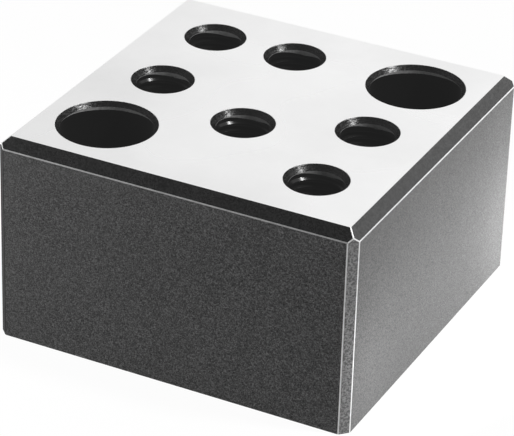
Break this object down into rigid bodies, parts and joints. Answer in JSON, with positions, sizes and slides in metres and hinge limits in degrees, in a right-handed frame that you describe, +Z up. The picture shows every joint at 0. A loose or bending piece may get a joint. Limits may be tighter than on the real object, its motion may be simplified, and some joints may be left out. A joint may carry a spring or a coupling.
{
  "type": "machinist setup block",
  "caption": "Square steel setup block with chamfered top and corners, plain bores on one diagonal and countersunk threaded holes for clamping work.",
  "frame": {"origin": "centre of the base face, on the surface that the block stands on", "axes": "+Z up through the ground top face, +X to the right along the front side, +Y to the back; the bores are at the front left and the back right"},
  "size_m": [0.1, 0.1, 0.057],
  "materials": {
    "block_steel": "bright ground top and base, fine-grained sides and dark machined countersinks"
  },
  "bodies": {
    "root": {"setup_block": "block_steel"}
  },
  "joints": []
}
